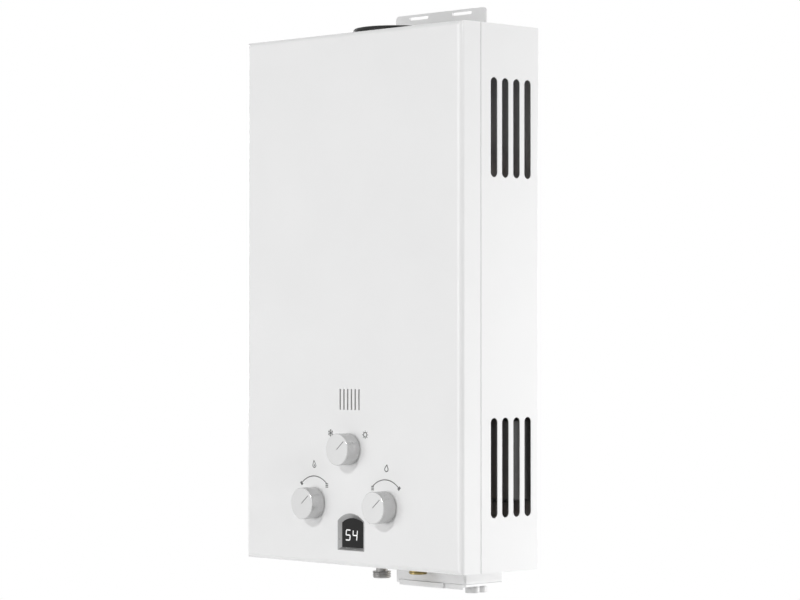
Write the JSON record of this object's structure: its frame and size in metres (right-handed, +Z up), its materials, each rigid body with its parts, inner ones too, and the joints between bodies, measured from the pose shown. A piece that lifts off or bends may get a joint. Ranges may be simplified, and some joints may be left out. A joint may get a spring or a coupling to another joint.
{
  "type": "wall-hung gas water heater",
  "caption": "Flat sheet-steel wall heater for tap water: burner, finned exchanger, gas and water valves behind a pan cover with turning knobs and an arched display.",
  "frame": {"origin": "midway between the two hanging slots of the top wall bracket, on the wall plane", "axes": "+X to the right seen from the front, the front faces -Y and +Y points into the wall, +Z up"},
  "size_m": [0.344, 0.1643, 0.6499],
  "materials": {
    "rear_casing": "satin white powder coat",
    "front_cover": "satin white powder coat",
    "cover_screws": "zinc plated",
    "sight_glass": "mica",
    "top_wall_bracket": "light grey",
    "bottom_wall_bracket": "light grey",
    "combustion_chamber": "lead-coated copper sheet",
    "fin_block": "copper",
    "exchanger_tube": "copper",
    "draught_hood": "galvanised sheet",
    "flue_collar": "black",
    "overheat_cutout": "black with aluminium cap",
    "burner_frame": "galvanised sheet",
    "burner_bar_1": "stainless",
    "burner_bar_2": "stainless",
    "burner_bar_3": "stainless",
    "burner_bar_4": "stainless",
    "burner_bar_5": "stainless",
    "burner_bar_6": "stainless",
    "gas_manifold": "die cast",
    "electrode_holder": "plain",
    "spark_electrode": "glazed",
    "flame_probe": "glazed",
    "gland_season": "turned",
    "gland_gas": "turned",
    "gland_water": "turned",
    "display_bezel": "bright",
    "display_lens": "black gloss",
    "display_module": "black",
    "gas_valve_body": "die cast",
    "season_selector": "die cast",
    "gas_solenoid": "black",
    "gas_inlet": "nickel plated",
    "cold_inlet": "turned",
    "hot_outlet": "turned",
    "water_valve_body": "cast",
    "diaphragm": "black",
    "diaphragm_cover": "cast",
    "diaphragm_screws": "zinc plated",
    "flow_switch": "black",
    "switch_bracket": "plain",
    "cold_pipe": "copper",
    "hot_pipe": "copper",
    "battery_box": "white",
    "battery_cell_left": "plain sleeve",
    "battery_cell_right": "plain sleeve",
    "battery_contacts": "nickel plated",
    "spark_generator": "black",
    "knob_season": "brushed",
    "spindle_season": "turned",
    "knob_gas": "brushed",
    "spindle_gas": "turned",
    "knob_water": "brushed",
    "spindle_water": "turned",
    "push_rod": "stainless",
    "switch_lever": "stainless",
    "battery_lid": "white",
    "battery_latch": "light grey"
  },
  "bodies": {
    "heater": {"rear_casing": "rear_casing", "front_cover": "front_cover", "cover_screws": "cover_screws", "sight_glass": "sight_glass", "top_wall_bracket": "top_wall_bracket", "bottom_wall_bracket": "bottom_wall_bracket", "combustion_chamber": "combustion_chamber", "fin_block": "fin_block", "exchanger_tube": "exchanger_tube", "draught_hood": "draught_hood", "flue_collar": "flue_collar", "overheat_cutout": "overheat_cutout", "burner_frame": "burner_frame", "burner_bar_1": "burner_bar_1", "burner_bar_2": "burner_bar_2", "burner_bar_3": "burner_bar_3", "burner_bar_4": "burner_bar_4", "burner_bar_5": "burner_bar_5", "burner_bar_6": "burner_bar_6", "gas_manifold": "gas_manifold", "electrode_holder": "electrode_holder", "spark_electrode": "spark_electrode", "flame_probe": "flame_probe", "gland_season": "gland_season", "gland_gas": "gland_gas", "gland_water": "gland_water", "display_bezel": "display_bezel", "display_lens": "display_lens", "display_module": "display_module", "gas_valve_body": "gas_valve_body", "season_selector": "season_selector", "gas_solenoid": "gas_solenoid", "gas_inlet": "gas_inlet", "cold_inlet": "cold_inlet", "hot_outlet": "hot_outlet", "water_valve_body": "water_valve_body", "diaphragm": "diaphragm", "diaphragm_cover": "diaphragm_cover", "diaphragm_screws": "diaphragm_screws", "flow_switch": "flow_switch", "switch_bracket": "switch_bracket", "cold_pipe": "cold_pipe", "hot_pipe": "hot_pipe", "battery_box": "battery_box", "battery_cell_left": "battery_cell_left", "battery_cell_right": "battery_cell_right", "battery_contacts": "battery_contacts", "spark_generator": "spark_generator"},
    "season_knob": {"knob_season": "knob_season", "spindle_season": "spindle_season"},
    "gas_knob": {"knob_gas": "knob_gas", "spindle_gas": "spindle_gas"},
    "water_knob": {"knob_water": "knob_water", "spindle_water": "spindle_water"},
    "push_rod": {"push_rod": "push_rod"},
    "switch_lever": {"switch_lever": "switch_lever"},
    "battery_lid": {"battery_lid": "battery_lid"},
    "battery_latch": {"battery_latch": "battery_latch"}
  },
  "joints": [
    {"name": "season_knob_turn", "type": "hinge", "parent": "heater", "child": "season_knob", "pos_m": [0, -0.155, -0.49], "axis": [0, -1, 0], "range_deg": [0, 100]},
    {"name": "gas_knob_turn", "type": "hinge", "parent": "heater", "child": "gas_knob", "pos_m": [-0.057, -0.155, -0.5516], "axis": [0, -1, 0], "range_deg": [0, 100]},
    {"name": "water_knob_turn", "type": "hinge", "parent": "heater", "child": "water_knob", "pos_m": [0.057, -0.155, -0.5516], "axis": [0, -1, 0], "range_deg": [0, 100]},
    {"name": "push_rod_slide", "type": "slide", "parent": "heater", "child": "push_rod", "axis": [-1, 0, 0], "range_m": [0, 0.004], "stiffness_N_per_m": 400, "springref_m": -0.002},
    {"name": "switch_lever_swing", "type": "hinge", "parent": "heater", "child": "switch_lever", "pos_m": [0.01196, -0.0905, -0.523], "axis": [0, 1, 0], "range_deg": [0, 18]},
    {"name": "battery_lid_swing", "type": "hinge", "parent": "heater", "child": "battery_lid", "pos_m": [0.028, -0.06635, -0.63575], "axis": [0, 1, 0], "range_deg": [0, 100]},
    {"name": "battery_latch_turn", "type": "hinge", "parent": "battery_lid", "child": "battery_latch", "pos_m": [0.1157, -0.06335, -0.642], "axis": [0, 0, 1], "range_deg": [0, 90]}
  ],
  "couplings": [
    {"joint": "switch_lever_swing", "follows": "push_rod_slide", "rad_per_m": 76.92}
  ]
}
